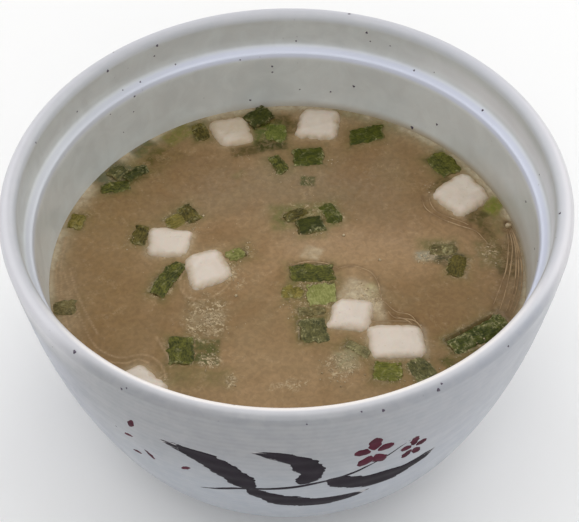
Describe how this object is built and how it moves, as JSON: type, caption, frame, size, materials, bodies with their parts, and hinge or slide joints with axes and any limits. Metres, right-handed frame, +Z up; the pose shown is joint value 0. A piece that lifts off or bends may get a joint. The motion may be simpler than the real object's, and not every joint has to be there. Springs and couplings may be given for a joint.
{
  "type": "miso soup in a bowl",
  "caption": "Round glazed stoneware bowl of miso soup: tofu cubes and slices of spring onion float in a cloudy brown broth, below a ledge inside the thick rim.",
  "frame": {"origin": "middle of the circle that the foot ring stands on", "axes": "+Z up, along the bowl's axis; the front, which faces the viewer, is towards -Y, and +X is to the viewer's right"},
  "size_m": [0.1328, 0.1328, 0.076],
  "materials": {
    "glaze": "pale grey semi-gloss glaze with iron specks",
    "broth": "cloudy brown liquid",
    "tofu": "moist cream-white bean curd",
    "onion_dark": "wet dark green spring onion",
    "onion_mid": "wet green spring onion under a film of broth",
    "onion_pale": "wet pale green spring onion"
  },
  "bodies": {
    "root": {"bowl": "glaze", "broth": "broth", "onion_01": "onion_dark", "onion_02": "onion_dark", "onion_03": "onion_dark", "onion_04": "onion_dark", "onion_05": "onion_dark", "onion_06": "onion_dark", "onion_07": "onion_mid", "onion_08": "onion_dark", "onion_09": "onion_dark", "onion_10": "onion_dark", "onion_11": "onion_dark", "onion_12": "onion_dark", "onion_13": "onion_mid", "onion_14": "onion_dark", "onion_15": "onion_dark", "onion_16": "onion_pale", "onion_17": "onion_dark", "onion_18": "onion_dark", "onion_19": "onion_dark", "onion_20": "onion_dark", "onion_21": "onion_dark", "onion_22": "onion_dark", "onion_23": "onion_dark", "onion_24": "onion_dark", "onion_25": "onion_pale", "onion_26": "onion_mid", "onion_27": "onion_mid", "onion_28": "onion_mid", "onion_29": "onion_mid", "onion_30": "onion_pale", "onion_31": "onion_dark", "onion_32": "onion_dark", "tofu_back": "tofu", "tofu_back_left": "tofu", "tofu_centre": "tofu", "tofu_front_left": "tofu", "tofu_front_right": "tofu", "tofu_inner_left": "tofu", "tofu_left": "tofu", "tofu_right": "tofu"}
  },
  "joints": []
}
